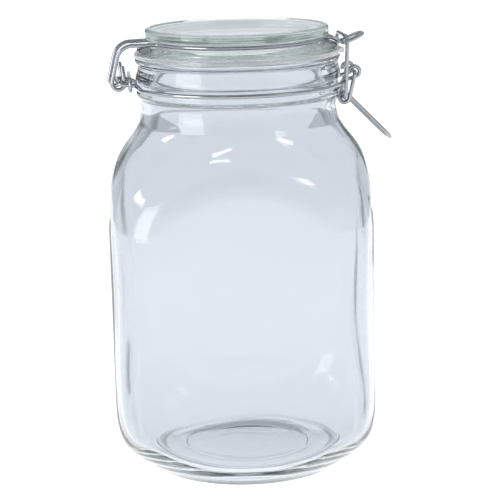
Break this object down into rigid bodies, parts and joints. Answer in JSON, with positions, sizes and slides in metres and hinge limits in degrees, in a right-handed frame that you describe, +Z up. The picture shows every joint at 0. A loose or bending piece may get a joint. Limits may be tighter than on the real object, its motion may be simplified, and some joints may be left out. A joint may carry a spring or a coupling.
{
  "type": "glass canister",
  "caption": "Square clear glass storage jar with round neck, hinged glass lid, rubber seal and a wire lever clasp; empty.",
  "frame": {"origin": "centre of the whole object's width and depth, on the surface that it stands on", "axes": "+Z up; the clasp is at +X and the lid's hinge at -X; +Y is across, along the hinge's axis; the jar's flat faces stand 8 degrees clockwise of these axes, seen from above"},
  "size_m": [0.159, 0.15, 0.2405],
  "materials": {
    "jar_glass": "clear pressed soda-lime glass, fire-polished",
    "lid_glass": "clear pressed soda-lime glass",
    "wire": "bright drawn steel wire",
    "seal": "translucent moulded silicone rubber"
  },
  "bodies": {
    "jar": {"glass_jar": "jar_glass", "neck_wire": "wire", "hinge_tie": "wire"},
    "lid": {"glass_lid": "lid_glass", "seal_ring": "seal", "lid_wire": "wire"},
    "lever": {"lever_wire": "wire"},
    "latch": {"latch_loop": "wire"}
  },
  "joints": [
    {"name": "lid_hinge", "type": "hinge", "parent": "jar", "child": "lid", "pos_m": [-0.06977, 0, 0.2133], "axis": [0, -1, 0], "range_deg": [0, 180]},
    {"name": "lever_pivot", "type": "hinge", "parent": "jar", "child": "lever", "pos_m": [0.05743, 0, 0.2143], "axis": [0, -1, 0], "range_deg": [0, 110]},
    {"name": "latch_pivot", "type": "hinge", "parent": "lever", "child": "latch", "pos_m": [0.05163, 0, 0.2006], "axis": [0, -1, 0], "range_deg": [-64, 0]}
  ],
  "couplings": [
    {"joint": "latch_pivot", "follows": "lever_pivot", "ratio": -0.58}
  ]
}
